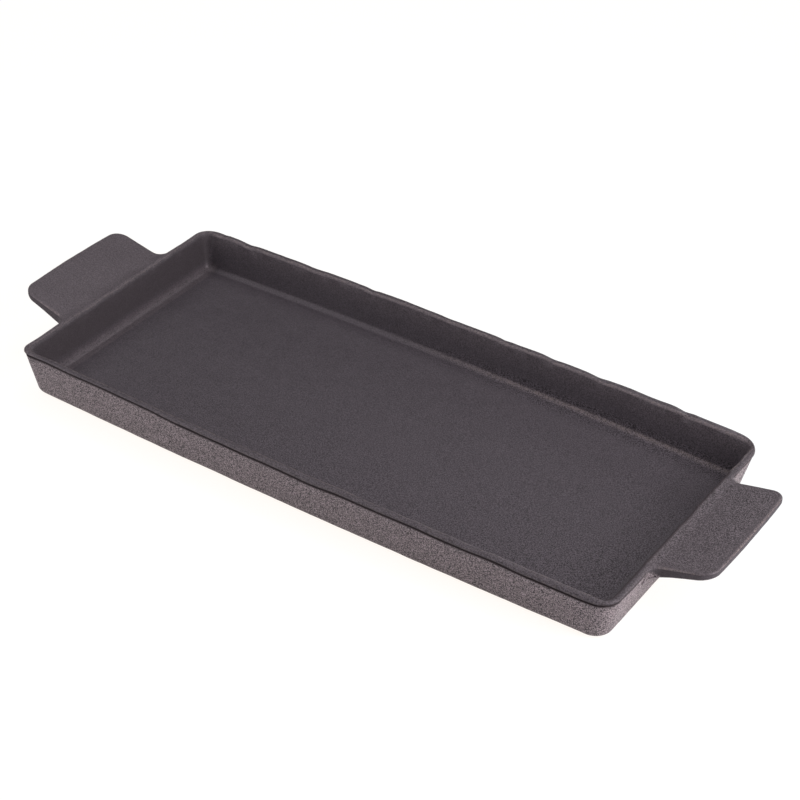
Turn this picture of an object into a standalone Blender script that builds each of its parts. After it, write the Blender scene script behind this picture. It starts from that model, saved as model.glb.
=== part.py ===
"""Cast iron sizzle platter: a shallow rectangular tray with a flat tab handle at each end.

Units are metres and +Z is up. The origin is on the underside, at the middle of the base.
+X runs along the tray towards the right handle, and +Y towards the rear wall.

The platter is one sand casting. The tray is lofted through rounded rectangles that climb the
tapered outer wall, cross the rim and run down the inner wall to the floor. The two handles
are flat plates with an arched underside, united with the end walls. Flat joints with a narrow
gap then divide the casting into its floor, its four walls and its two handles.
"""

import math

import bmesh
import bpy
from mathutils import Matrix, Vector

# Tray. The casting is a little uneven: its long sides swell and its corners differ.
TRAY_LENGTH = 0.330
TRAY_WIDTH = 0.149
TRAY_HEIGHT = 0.0255
FRONT_BOW = 0.0023
REAR_BOW = 0.0032
FLOOR_THICKNESS = 0.006
WALL_THICKNESS = 0.004
OUTER_TAPER = 0.005
INNER_TAPER = 0.0035
REAR_RIGHT_CORNER_RADIUS = 0.0125
REAR_LEFT_CORNER_RADIUS = 0.009
FRONT_LEFT_CORNER_RADIUS = 0.0065
FRONT_RIGHT_CORNER_RADIUS = 0.009
BASE_CORNER_STEP = 0.001
INNER_CORNER_RADIUS = 0.005
FLOOR_CORNER_RADIUS = 0.003
BASE_EDGE_RADIUS = 0.004
FLOOR_FILLET_RADIUS = 0.005

# Rim: a smooth rounded cap above the mould line, whose edge wanders in short and long waves
CAP_HEIGHT = 0.0014
CAP_OVERHANG = 0.0004
RIM_EDGE_RADIUS = 0.0011
RIPPLE_HEIGHT = 0.0004
RIPPLE_WIDTH = 0.0003
SHORT_WAVE = 0.028
LONG_WAVE = 0.045
LONG_WAVE_SHARE = 0.4
LONG_WAVE_LAG = math.radians(63)

# Handles
HANDLE_LENGTH = 0.0292
HANDLE_ROOT_WIDTH = 0.0768
HANDLE_TIP_WIDTH = 0.0754
HANDLE_RISE = 0.0068
HANDLE_ROOT_THICKNESS = 0.0064
HANDLE_TIP_THICKNESS = 0.0036
HANDLE_CORNER_RADIUS = 0.0078
HANDLE_ROOT_FILLET = 0.0055
HANDLE_EDGE_RADIUS = 0.0012
HANDLE_END_BOW = 0.0006
HANDLE_STUB = 0.0012
LEFT_HANDLE_SHIFT = 0.0017
HANDLE_ROOT_LINE = -RIM_EDGE_RADIUS / 2
HANDLE_SUNK_END = -WALL_THICKNESS / 2

# Gap between neighbouring sections of the casting
JOINT_GAP = 0.0003

# Mesh density
CORNER_STEPS = 6
SIDE_STEPS = 60
END_STEPS = 26
ARC_STEPS = 4
EDGE_STEPS = 3
HANDLE_STATIONS = 6
HANDLE_END_STEPS = 4
SHARP_ANGLE = math.radians(35)

FINE_IRON_COLOUR = (0.052, 0.046, 0.050, 1.0)
COARSE_IRON_COLOUR = (0.075, 0.068, 0.070, 1.0)
FLOOR_ROUGHNESS = 0.55
WALL_ROUGHNESS = 0.65
HANDLE_ROUGHNESS = 0.60
IRON_METALLIC = 0.35


def clear_scene():
    for obj in list(bpy.data.objects):
        bpy.data.objects.remove(obj, do_unlink=True)


def iron_material(name, colour, roughness):
    material = bpy.data.materials.new(name)
    material.use_nodes = True
    shader = material.node_tree.nodes["Principled BSDF"]
    shader.inputs["Base Color"].default_value = colour
    shader.inputs["Roughness"].default_value = roughness
    shader.inputs["Metallic"].default_value = IRON_METALLIC
    return material


def between(first, last, share):
    return first + (last - first) * share


def arc(centre, radius, start, turn, steps):
    """Points on a circle, from a start angle through a signed turn."""
    centre = Vector(centre)
    points = []
    for step in range(steps + 1):
        angle = start + turn * step / steps
        points.append(centre + radius * Vector((math.cos(angle), math.sin(angle))))
    return points


def fillet(before, corner, after, radius, steps):
    """The arc that rounds the corner between the runs from before and on to after."""
    corner = Vector(corner)
    back = (Vector(before) - corner).normalized()
    ahead = (Vector(after) - corner).normalized()
    half_angle = back.angle(ahead) / 2
    centre = corner + (back + ahead).normalized() * radius / math.sin(half_angle)
    first = corner + back * radius / math.tan(half_angle) - centre
    turn = math.pi - 2 * half_angle
    if back.x * ahead.y - back.y * ahead.x > 0:
        turn = -turn
    return arc(centre, radius, math.atan2(first.y, first.x), turn, steps)


def wall_profile():
    """The wall's section as points of inset from the rim's outline and height, in three runs."""
    mould_line = TRAY_HEIGHT - CAP_HEIGHT
    middle = TRAY_WIDTH / 2
    base_toe = (OUTER_TAPER, 0.0)
    wall_top = (CAP_OVERHANG, mould_line)
    cap_foot = (0.0, mould_line)
    outer_lip = (0.0, TRAY_HEIGHT)
    inner_lip = (WALL_THICKNESS, TRAY_HEIGHT)
    floor_toe = (WALL_THICKNESS + INNER_TAPER, FLOOR_THICKNESS)

    outer = fillet((middle, 0.0), base_toe, wall_top, BASE_EDGE_RADIUS, ARC_STEPS)
    outer.append(Vector(wall_top))
    rim = [Vector(cap_foot)]
    rim += fillet(cap_foot, outer_lip, inner_lip, RIM_EDGE_RADIUS, EDGE_STEPS)
    rim += fillet(outer_lip, inner_lip, floor_toe, RIM_EDGE_RADIUS, EDGE_STEPS)
    inner = fillet(inner_lip, floor_toe, (middle, FLOOR_THICKNESS), FLOOR_FILLET_RADIUS, ARC_STEPS)
    return outer, rim, inner


def rim_corner_radii():
    """Counter-clockwise from the rear right corner, in the order of the outline's points."""
    return (REAR_RIGHT_CORNER_RADIUS, REAR_LEFT_CORNER_RADIUS,
            FRONT_LEFT_CORNER_RADIUS, FRONT_RIGHT_CORNER_RADIUS)


def outline(inset, corner_radii):
    """A rounded rectangle inside the rim's outline, with long sides that swell outward."""
    half_length = TRAY_LENGTH / 2 - inset
    half_width = TRAY_WIDTH / 2 - inset
    sides = ((1, 1), (-1, 1), (-1, -1), (1, -1))
    corners = []
    for index, ((side_x, side_y), radius) in enumerate(zip(sides, corner_radii)):
        centre = (side_x * (half_length - radius), side_y * (half_width - radius))
        corners.append(arc(centre, radius, index * math.pi / 2, math.pi / 2, CORNER_STEPS))

    points = []
    for index, corner in enumerate(corners):
        run_end = corners[(index + 1) % 4][0]
        steps = SIDE_STEPS if index % 2 == 0 else END_STEPS
        points += corner
        points += [corner[-1].lerp(run_end, step / steps) for step in range(1, steps)]

    for point in points:
        swell = 1 - (point.x / half_length) ** 2
        point.y += REAR_BOW * swell if point.y > 0 else -FRONT_BOW * swell
    return points


def ripple(share):
    """Unevenness of the rim, within one either way, at a share of the way round it."""
    perimeter = 2 * (TRAY_LENGTH + TRAY_WIDTH)
    turn = 2 * math.pi * share
    short = math.sin(round(perimeter / SHORT_WAVE) * turn)
    long = math.sin(round(perimeter / LONG_WAVE) * turn + LONG_WAVE_LAG)
    return between(short, long, LONG_WAVE_SHARE)


def wall_ring(inset, height, corner_radii):
    return [point.to_3d() + Vector((0, 0, height)) for point in outline(inset, corner_radii)]


def rim_ring(inset, height, corner_radii):
    """An outline on the cap: its height and its inner edge follow the ripple."""
    level = (height - TRAY_HEIGHT + CAP_HEIGHT) / CAP_HEIGHT
    across = inset / WALL_THICKNESS
    narrow = outline(inset, corner_radii)
    wide = outline(inset + RIPPLE_WIDTH, corner_radii)
    ring = []
    for index, point in enumerate(narrow):
        wave = ripple(index / len(narrow))
        place = point.lerp(wide[index], across * wave).to_3d()
        place.z = height + RIPPLE_HEIGHT * wave * level
        ring.append(place)
    return ring


def tray_mesh():
    """The tray as one closed loft, from the underside over the rim and down to the floor."""
    outer, rim, inner = wall_profile()
    rings = []
    for inset, height in outer:
        step = between(BASE_CORNER_STEP, 0.0, height / TRAY_HEIGHT)
        radii = [radius - step for radius in rim_corner_radii()]
        rings.append(wall_ring(inset, height, radii))
    for inset, height in rim:
        share = inset / WALL_THICKNESS
        radii = [between(radius, INNER_CORNER_RADIUS, share) for radius in rim_corner_radii()]
        rings.append(rim_ring(inset, height, radii))
    for inset, height in inner:
        share = (TRAY_HEIGHT - height) / (TRAY_HEIGHT - FLOOR_THICKNESS)
        radius = between(INNER_CORNER_RADIUS, FLOOR_CORNER_RADIUS, share)
        rings.append(wall_ring(inset, height, [radius] * 4))

    mesh = bmesh.new()
    loops = [[mesh.verts.new(point) for point in ring] for ring in rings]
    for lower, upper in zip(loops, loops[1:]):
        for index in range(len(lower)):
            face = (lower[index - 1], lower[index], upper[index], upper[index - 1])
            mesh.faces.new(face)
    mesh.faces.new(reversed(loops[0]))
    mesh.faces.new(loops[-1])
    return mesh


def handle_top(reach):
    return TRAY_HEIGHT + HANDLE_RISE * reach / HANDLE_LENGTH


def handle_thickness(reach):
    """The underside arches: the plate is thick at the root and thin at the tip."""
    share = min(max(reach / HANDLE_LENGTH, 0.0), 1.0)
    return between(HANDLE_TIP_THICKNESS, HANDLE_ROOT_THICKNESS, (1 - share) ** 2)


def handle_plan():
    """The handle's outline as points of reach from the rim and distance across."""
    corner_reach = HANDLE_LENGTH - HANDLE_END_BOW
    root = (HANDLE_ROOT_LINE, HANDLE_ROOT_WIDTH / 2)
    tip = (corner_reach, HANDLE_TIP_WIDTH / 2)
    shoulder = (HANDLE_ROOT_LINE, HANDLE_ROOT_WIDTH)
    half = fillet(shoulder, root, tip, HANDLE_ROOT_FILLET, ARC_STEPS)
    half += fillet(root, tip, (corner_reach, 0.0), HANDLE_CORNER_RADIUS, CORNER_STEPS)
    half.insert(0, Vector((HANDLE_SUNK_END, half[0].y)))
    end_half = half[-1].y
    for step in range(1, HANDLE_END_STEPS):
        share = 1 - step / HANDLE_END_STEPS
        half.append(Vector((HANDLE_LENGTH - HANDLE_END_BOW * share ** 2, end_half * share)))
    middle = [Vector((HANDLE_LENGTH, 0.0))]
    return half + middle + [Vector((point.x, -point.y)) for point in reversed(half)]


def beyond_root_line(edge):
    return max(vert.co.x for vert in edge.verts) > between(HANDLE_ROOT_LINE, 0.0, 0.5)


def handle_mesh(facing):
    """A plate with rounded edges, tilted up outward, whose root is sunk in the end wall."""
    mesh = bmesh.new()
    bottom = mesh.faces.new([mesh.verts.new(point.to_3d()) for point in handle_plan()])
    raised = bmesh.ops.extrude_face_region(mesh, geom=[bottom])["geom"]
    moved = [item for item in raised if isinstance(item, bmesh.types.BMVert)]
    bmesh.ops.translate(mesh, verts=moved, vec=(0, 0, HANDLE_TIP_THICKNESS))
    bmesh.ops.recalc_face_normals(mesh, faces=mesh.faces)
    level = [edge for edge in mesh.edges if edge.verts[0].co.z == edge.verts[1].co.z]
    rounded = [edge for edge in level if beyond_root_line(edge)]
    bmesh.ops.bevel(mesh, geom=rounded, offset=HANDLE_EDGE_RADIUS, segments=EDGE_STEPS,
                    profile=0.5, affect="EDGES", offset_type="OFFSET")
    for station in range(HANDLE_STATIONS):
        reach = HANDLE_LENGTH * station / HANDLE_STATIONS
        everything = mesh.verts[:] + mesh.edges[:] + mesh.faces[:]
        bmesh.ops.bisect_plane(mesh, geom=everything, plane_co=(reach, 0, 0), plane_no=(1, 0, 0))
    for vert in mesh.verts:
        reach = vert.co.x
        surface = handle_top(reach) - HANDLE_TIP_THICKNESS
        if vert.co.z < HANDLE_TIP_THICKNESS / 2:
            surface = handle_top(reach) - handle_thickness(reach)
        vert.co.z += surface
    bmesh.ops.translate(mesh, verts=mesh.verts, vec=(TRAY_LENGTH / 2, 0, 0))
    if facing < 0:
        half_turn = Matrix.Rotation(math.pi, 3, "Z")
        bmesh.ops.rotate(mesh, verts=mesh.verts, cent=(0, 0, 0), matrix=half_turn)
        bmesh.ops.translate(mesh, verts=mesh.verts, vec=(0, -LEFT_HANDLE_SHIFT, 0))
    return mesh


def mesh_object(name, mesh):
    data = bpy.data.meshes.new(name)
    mesh.to_mesh(data)
    mesh.free()
    obj = bpy.data.objects.new(name, data)
    bpy.context.scene.collection.objects.link(obj)
    return obj


def whole_casting():
    """The tray and both handles united into one closed mesh."""
    tray = mesh_object("tray_pattern", tray_mesh())
    handles = [mesh_object("handle_pattern", handle_mesh(facing)) for facing in (1, -1)]
    for handle in handles:
        union = tray.modifiers.new("union", "BOOLEAN")
        union.operation = "UNION"
        union.solver = "EXACT"
        union.object = handle
    bpy.context.view_layer.update()
    evaluated = tray.evaluated_get(bpy.context.evaluated_depsgraph_get())
    casting = bmesh.new()
    casting.from_mesh(evaluated.to_mesh())
    for obj in [tray] + handles:
        bpy.data.objects.remove(obj, do_unlink=True)
    return casting


def cut_section(casting, cuts):
    """A copy of the casting, cut by planes given as a point and the side to take away."""
    section = casting.copy()
    for point, removed_side in cuts:
        everything = section.verts[:] + section.edges[:] + section.faces[:]
        bmesh.ops.bisect_plane(section, geom=everything, plane_co=point, plane_no=removed_side,
                               clear_outer=True)
        open_edges = [edge for edge in section.edges if edge.is_boundary]
        bmesh.ops.holes_fill(section, edges=open_edges)
    return section


def floor_joints():
    """Distances from the middle to the joints between the floor and the walls, in X and Y."""
    outer, rim, inner = wall_profile()
    fillet_toe = inner[-1].x
    return TRAY_LENGTH / 2 - fillet_toe, TRAY_WIDTH / 2 - fillet_toe


def floor_cuts():
    joint_x, joint_y = floor_joints()
    cuts = []
    for direction, joint in ((Vector((1, 0, 0)), joint_x), (Vector((0, 1, 0)), joint_y)):
        for side in (direction, -direction):
            cuts.append((side * (joint - JOINT_GAP / 2), side))
    return cuts


def wall_cuts(outward):
    """The planes round a wall: its foot at the floor and a mitre through each corner."""
    joint_x, joint_y = floor_joints()
    along = Vector((-outward.y, outward.x, 0))
    foot = abs(outward.x) * joint_x + abs(outward.y) * joint_y
    half_span = abs(along.x) * joint_x + abs(along.y) * joint_y
    cuts = [(outward * (foot + JOINT_GAP / 2), -outward)]
    for end in (1, -1):
        kept_side = (outward - along * end).normalized()
        corner = outward * foot + along * end * half_span
        cuts.append((corner + kept_side * JOINT_GAP / 2, -kept_side))
    return cuts


def end_wall_cuts(outward):
    handle_joint = TRAY_LENGTH / 2 + HANDLE_STUB
    return wall_cuts(outward) + [(outward * (handle_joint - JOINT_GAP / 2), outward)]


def handle_cuts(outward):
    handle_joint = TRAY_LENGTH / 2 + HANDLE_STUB
    return [(outward * (handle_joint + JOINT_GAP / 2), -outward)]


def add_section(name, casting, cuts, material):
    obj = mesh_object(name, cut_section(casting, cuts))
    obj.data.materials.append(material)
    obj.data.shade_smooth()
    obj.data.set_sharp_from_angle(angle=SHARP_ANGLE)
    return obj


def build():
    clear_scene()
    casting = whole_casting()
    floor_iron = iron_material("floor_iron", FINE_IRON_COLOUR, FLOOR_ROUGHNESS)
    wall_iron = iron_material("wall_iron", COARSE_IRON_COLOUR, WALL_ROUGHNESS)
    handle_iron = iron_material("handle_iron", COARSE_IRON_COLOUR, HANDLE_ROUGHNESS)
    right = Vector((1, 0, 0))
    rear = Vector((0, 1, 0))

    add_section("cooking_floor", casting, floor_cuts(), floor_iron)
    add_section("front_wall", casting, wall_cuts(-rear), wall_iron)
    add_section("rear_wall", casting, wall_cuts(rear), wall_iron)
    add_section("left_end_wall", casting, end_wall_cuts(-right), wall_iron)
    add_section("right_end_wall", casting, end_wall_cuts(right), wall_iron)
    add_section("left_handle", casting, handle_cuts(-right), handle_iron)
    add_section("right_handle", casting, handle_cuts(right), handle_iron)
    casting.free()


build()
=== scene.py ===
# %% [markdown]
# # A cast iron sizzle platter
#
# This notebook dresses a plain CAD model of a sizzle platter: a shallow rectangular tray, cast in
# black iron in one piece with two flat handles. The CAD gives the size and the place of every
# section. Here we build the surface that the eye sees, with its wandering rim, its mould line,
# its rough outer walls and its fine-grained inside, and then light it on a white table.
#
# All lengths are in metres. +X runs along the tray to the right handle, +Y to the rear wall and
# +Z up. The origin is in the middle of the underside.

import math

import bmesh
import bpy
from mathutils import Matrix, Vector, noise


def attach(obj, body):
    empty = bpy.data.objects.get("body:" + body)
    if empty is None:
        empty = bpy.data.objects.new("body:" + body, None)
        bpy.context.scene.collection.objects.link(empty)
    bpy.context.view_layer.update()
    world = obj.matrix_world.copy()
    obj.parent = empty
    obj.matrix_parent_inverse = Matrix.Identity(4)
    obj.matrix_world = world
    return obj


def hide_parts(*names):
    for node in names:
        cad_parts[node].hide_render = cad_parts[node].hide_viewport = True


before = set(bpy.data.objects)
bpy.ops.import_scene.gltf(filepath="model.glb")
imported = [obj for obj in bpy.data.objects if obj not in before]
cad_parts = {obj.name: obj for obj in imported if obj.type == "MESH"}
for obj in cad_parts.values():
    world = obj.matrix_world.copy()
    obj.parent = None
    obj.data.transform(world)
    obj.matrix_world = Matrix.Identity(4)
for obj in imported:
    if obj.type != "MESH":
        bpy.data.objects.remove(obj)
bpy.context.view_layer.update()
print("CAD sections:", sorted(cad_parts))

# %% [markdown]
# ## The camera
#
# A photographer stands back and uses a long lens, so that the tray's far side looks nearly as
# wide as its near side. We could aim with a Track To constraint, but a plain matrix is easier to
# check: its columns are the camera's right, its up and the opposite of where it looks.

# %% Place the camera
VIEW_AZIMUTH = math.radians(31.624)
VIEW_ELEVATION = math.radians(34.673)
VIEW_ROLL = math.radians(2.982)
VIEW_DISTANCE = 1.07723
VIEW_TARGET = Vector((-0.01114, 0.03244, 0.0))
LENS_MM = 97.312
SENSOR_MM = 36.0

looking = Vector((-math.sin(VIEW_AZIMUTH) * math.cos(VIEW_ELEVATION),
                  math.cos(VIEW_AZIMUTH) * math.cos(VIEW_ELEVATION),
                  -math.sin(VIEW_ELEVATION)))
level_right = Vector((math.cos(VIEW_AZIMUTH), math.sin(VIEW_AZIMUTH), 0))
level_up = level_right.cross(looking)
right = level_right * math.cos(VIEW_ROLL) + level_up * math.sin(VIEW_ROLL)
up = level_up * math.cos(VIEW_ROLL) - level_right * math.sin(VIEW_ROLL)

camera = bpy.data.objects.new("camera", bpy.data.cameras.new("camera"))
bpy.context.scene.collection.objects.link(camera)
camera.data.lens = LENS_MM
camera.data.sensor_width = SENSOR_MM
turned = Matrix((right, up, -looking)).transposed()
camera.matrix_world = Matrix.LocRotScale(VIEW_TARGET - looking * VIEW_DISTANCE, turned, None)
bpy.context.scene.camera = camera
print("camera at", [round(value, 3) for value in camera.matrix_world.translation])

# %% [markdown]
# ## The wall's section
#
# Sand-cast walls taper, so that the pattern lifts out of the sand. Above the mould line sits a
# smooth rounded cap, the rim, and under the cap runs a fine dark groove where the two halves of
# the mould met. We draw this section once, as a chain of edges in which x is the inset from the
# rim's outline and z the height, round its corners with a vertex bevel, and let the tray's
# outline climb it later.

# %% Size of the tray
TRAY_LENGTH = 0.330
TRAY_WIDTH = 0.149
TRAY_HEIGHT = 0.0255
FRONT_BOW = 0.0023
REAR_BOW = 0.0032
FLOOR_THICKNESS = 0.006
WALL_THICKNESS = 0.0037
OUTER_TAPER = 0.005
INNER_TAPER = 0.0038
MOULD_LINE = 0.0241
RIM_CORNERS = (0.0125, 0.009, 0.0065, 0.009)
BASE_CORNER_STEP = 0.001
INNER_CORNER_RADIUS = 0.005
FLOOR_CORNER_RADIUS = 0.003
LEVEL_STEP = 0.0009
# The groove under the rim: its lower lip, its deepest line and its upper lip
GROOVE_FOOT = MOULD_LINE - 0.0013
GROOVE_FOOT_INSET = 0.0006
GROOVE_MIDDLE = MOULD_LINE - 0.0007
GROOVE_DEPTH = 0.0014
GROOVE_TOP = MOULD_LINE + 0.0001
# The rim's cap starts above the groove with a narrow edge
CAP_FOOT, CAP_EDGE = MOULD_LINE + 0.0002, MOULD_LINE + 0.0009
# How far in from the rim's outline the underside and the floor are filled with squares
UNDERSIDE_EDGE = 0.0120
FLOOR_EDGE = 0.0145

# Each corner of the section: its inset, its height and the radius that rounds it
SECTION_CORNERS = (
    (UNDERSIDE_EDGE, 0.0, 0.0),
    (OUTER_TAPER, 0.0, 0.0040),
    (GROOVE_FOOT_INSET, GROOVE_FOOT, 0.0003),
    (GROOVE_DEPTH, GROOVE_MIDDLE, 0.0002),
    (0.00005, GROOVE_TOP, 0.0002),
    (0.0, TRAY_HEIGHT, 0.0012),
    (WALL_THICKNESS, TRAY_HEIGHT, 0.0013),
    (WALL_THICKNESS + INNER_TAPER, FLOOR_THICKNESS, 0.0029),
    (FLOOR_EDGE, FLOOR_THICKNESS, 0.0),
)


def tangent_length(before, corner, after, radius):
    """How far from a corner a rounding of this radius starts."""
    half_angle = (before - corner).angle(after - corner) / 2
    return radius / math.tan(half_angle)


def draw_section():
    """The section's rounded chain, as a list of (inset, height) from the underside to the floor."""
    chain = bmesh.new()
    points = [Vector((inset, 0, height)) for inset, height, radius in SECTION_CORNERS]
    corners = [chain.verts.new(point) for point in points]
    for first, second in zip(corners, corners[1:]):
        chain.edges.new((first, second))
    for index in range(1, len(points) - 1):
        radius = SECTION_CORNERS[index][2]
        offset = tangent_length(*points[index - 1:index + 2], radius)
        segments = max(3, round(offset * 2 / LEVEL_STEP) + 2)
        bmesh.ops.bevel(chain, geom=[corners[index]], offset=offset, segments=segments,
                        profile=0.5, affect="VERTICES", material=-1)
    for edge in list(chain.edges):
        pieces = math.ceil(edge.calc_length() / LEVEL_STEP)
        if pieces > 1:
            bmesh.ops.subdivide_edges(chain, edges=[edge], cuts=pieces - 1)
    start = max(chain.verts, key=lambda vert: vert.co.x - 2 * vert.co.z)
    walked = [start]
    edge = start.link_edges[0]
    while True:
        walked.append(edge.other_vert(walked[-1]))
        onward = [other for other in walked[-1].link_edges if other is not edge]
        if not onward:
            break
        edge = onward[0]
    section = [(vert.co.x, vert.co.z) for vert in walked]
    chain.free()
    return section


section = draw_section()
print("section:", len(section), "levels, from", section[0], "to", section[-1])

# %% [markdown]
# ## The outline's stations
#
# Seen from above the tray is a rectangle with four unlike rounded corners and long sides that
# swell a little, as a hand-made pattern leaves them. We start from a one-face grid, bevel its
# four corner points, cut its sides into short steps and number the points round it. These
# numbers, the stations, stay with every point that is extruded from them.

# %% Lay out the stations
LONG_SIDE_STEPS = 312
END_STEPS = 134
CORNER_STEPS = 12
CORNER_SIDES = ((1, 1), (-1, 1), (-1, -1), (1, -1))
# An edge longer than this is a whole side of the outline
WHOLE_SIDE = 0.05


def corner_point(corner, turn, inset, radii):
    """A point on a rounded corner. Its turn runs from 0 where the arc starts to 1 at its end."""
    side_x, side_y = CORNER_SIDES[corner]
    radius = radii[corner]
    centre = Vector((side_x * (TRAY_LENGTH / 2 - inset - radius),
                     side_y * (TRAY_WIDTH / 2 - inset - radius), 0))
    angle = (corner + turn) * math.pi / 2
    return centre + radius * Vector((math.cos(angle), math.sin(angle), 0))


def first_outline(mesh):
    """One face with rounded corners and finely cut sides."""
    bmesh.ops.create_grid(mesh, x_segments=1, y_segments=1, size=0.5)
    bmesh.ops.scale(mesh, vec=(TRAY_LENGTH, TRAY_WIDTH, 1), verts=mesh.verts)
    for (side_x, side_y), radius in zip(CORNER_SIDES, RIM_CORNERS):
        corner = max(mesh.verts, key=lambda vert: vert.co.x * side_x + vert.co.y * side_y)
        bmesh.ops.bevel(mesh, geom=[corner], offset=radius, segments=CORNER_STEPS,
                        profile=0.5, affect="VERTICES", material=-1)
    for edge in [edge for edge in mesh.edges if edge.calc_length() > WHOLE_SIDE]:
        along_x = abs(edge.verts[0].co.x - edge.verts[1].co.x) > WHOLE_SIDE
        cuts = (LONG_SIDE_STEPS if along_x else END_STEPS) - 1
        bmesh.ops.subdivide_edges(mesh, edges=[edge], cuts=cuts)


def walk_round(mesh):
    """The outline's points in order, from the start of the rear right corner."""
    arc_start = corner_point(0, 0.0, 0, RIM_CORNERS)
    start = min(mesh.verts, key=lambda vert: (vert.co - arc_start).length)
    onward = max(start.link_edges, key=lambda edge: edge.other_vert(start).co.y)
    ordered = [start]
    vert = onward.other_vert(start)
    while vert is not start:
        ordered.append(vert)
        onward = next(edge for edge in vert.link_edges if edge is not onward)
        vert = onward.other_vert(vert)
    return ordered


casting = bmesh.new()
station_of = casting.verts.layers.int.new("station")
level_of = casting.verts.layers.int.new("level")
reach_of = casting.verts.layers.float.new("reach")
first_outline(casting)
for station, vert in enumerate(walk_round(casting)):
    vert[station_of] = station

# Each station's corner, its turn on that corner's arc, and its share of the side that follows
roles = []
diagonals = []
for corner in range(4):
    diagonals.append(len(roles) + CORNER_STEPS // 2)
    roles += [(corner, step / CORNER_STEPS, 0.0) for step in range(CORNER_STEPS + 1)]
    side_steps = LONG_SIDE_STEPS if corner % 2 == 0 else END_STEPS
    roles += [(corner, 1.0, step / side_steps) for step in range(1, side_steps)]
print("stations round the tray:", len(roles), "points:", len(casting.verts))

# %% [markdown]
# ## The wandering rim
#
# No two platters have the same rim: it is ground by hand where the molten iron ran into the
# mould, so the edge wanders by a few tenths of a millimetre and keeps small dents. Slow waves of
# unlike length give the wandering without a regular beat, and the rear rim, which shows against
# the light, gets its dents one by one. The mould line under the rim wanders on its own, because
# it follows the joint in the sand and not the grinder.

# %% Waves of the rim
# Height, length and phase of each slow wave
REAR_WAVES = ((0.00013, 0.0665, 3.6), (0.00008, 0.0475, 1.5), (0.00008, 0.0269, 4.9))
FRONT_WAVES = ((0.00009, 0.0427, 4.0), (0.00008, 0.0277, 2.1), (0.00005, 0.0209, 0.9))
END_WAVES = ((0.00009, 0.0427, 3.3), (0.00010, 0.0277, 1.2), (0.00006, 0.0209, 2.2))
MOULD_LINE_WAVES = ((0.00060, 0.3471, 3.33), (0.00064, 0.2002, 5.67), (0.00022, 0.0691, 3.85),
                    (0.00013, 0.0368, 2.93))
MOULD_LINE_RISE = 0.0001
# How far along the waves of an end start, so that the two ends differ
RIM_END_START = 0.01
LINE_END_START = 0.02
# Distances from the end between which the waves of the end take over
END_BEGINS, END_FULL = 0.016, 0.004
# Place along the rear rim, depth and half width of each dent, and how high the rest stands
REAR_DENTS = (
    (-0.1510, 0.00037, 0.0018), (-0.1352, 0.00060, 0.0043), (-0.0936, 0.00080, 0.0077),
    (-0.0578, 0.00044, 0.0032), (-0.0115, 0.00046, 0.0055), (0.0211, 0.00034, 0.0026),
    (0.0490, 0.00058, 0.0044), (0.0752, 0.00054, 0.0041), (0.1026, 0.00038, 0.0090),
    (0.1227, 0.00076, 0.0035),
)
REAR_RISE = 0.00014


def share_between(value, low, high):
    """How far a value has come from low to high, from 0 to 1."""
    return min(max((value - low) / (high - low), 0.0), 1.0)


def blend(first, last, share):
    return first + (last - first) * share


def eased(share):
    """A share that starts and ends gently."""
    return share * share * (3 - 2 * share)


def waves(distance, kinds):
    """The sum of several slow waves at a distance along the rim."""
    return sum(height * math.sin(2 * math.pi * distance / length + phase)
               for height, length, phase in kinds)


def dents(distance):
    return sum(depth * math.exp(-((distance - place) / width) ** 2)
               for place, depth, width in REAR_DENTS)


def nearness_to_end(point):
    return share_between(abs(point.x), TRAY_LENGTH / 2 - END_BEGINS, TRAY_LENGTH / 2 - END_FULL)


def rim_wave(point):
    """How far the rim wanders up at a point of the plan."""
    if point.y > 0:
        long_side = REAR_RISE + waves(point.x, REAR_WAVES) - dents(point.x)
    else:
        long_side = waves(point.x, FRONT_WAVES)
    end_side = waves(point.y + math.copysign(RIM_END_START, point.x), END_WAVES)
    return blend(long_side, end_side, nearness_to_end(point))


def mould_line_shift(point):
    """How far the mould line wanders up at a point of the plan."""
    long_side = waves(point.x * math.copysign(1, -point.y), MOULD_LINE_WAVES)
    end_side = waves(point.y - math.copysign(LINE_END_START, point.x), END_WAVES) * 2
    return blend(long_side, end_side, nearness_to_end(point)) + MOULD_LINE_RISE


middle_of_rear = Vector((0, TRAY_WIDTH / 2))
print("rear rim, middle:", round(rim_wave(middle_of_rear) * 1000, 3), "mm up, mould line",
      round(mould_line_shift(middle_of_rear) * 1000, 3), "mm")

# %% [markdown]
# ## Raising the tray
#
# We extrude the outline once for each level of the section and move each new point by its
# station, so that the corners can change radius on the way: wide at the rim, tighter at the
# floor. A Solidify modifier would give one thickness everywhere, which a tapered casting lacks.
# The inner lip was only roughly dressed: it is soft on the left end and at the rear right
# corner, and a little ragged all round. Grid Fill then closes the floor and the underside with
# even squares.

# %% Climb the section
RIM_FOOT = min(range(len(section)),
               key=lambda index: (Vector(section[index]) - Vector((0.0, MOULD_LINE))).length)
lips = [index for index, (inset, height) in enumerate(section) if height > TRAY_HEIGHT - 1e-6]
OUTER_LIP = lips[0]
INNER_LIP = lips[-1]
FLOOR_LEVEL = len(section)
UNDERSIDE_LEVEL = -1
# How far the inner lip is pushed in where it is crisp and where it is soft, and how far from
# the lip that and its raggedness are felt
CRISP_LIP, SOFT_LIP = 0.0001, 0.0004
LIP_REACH = 0.0052
RAGGED_REACH = 0.0035
# Height and size of the lip's raggedness
RAGGED_WAVES = ((0.0006, 0.007), (0.00035, 0.0026))
# How far below the mould line the rim's and the line's own wandering are felt
RIM_WAVE_REACH = 0.004
LINE_WAVE_REACH = 0.010
rear_right_corner = Vector((TRAY_LENGTH / 2, TRAY_WIDTH / 2, 0))


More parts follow.
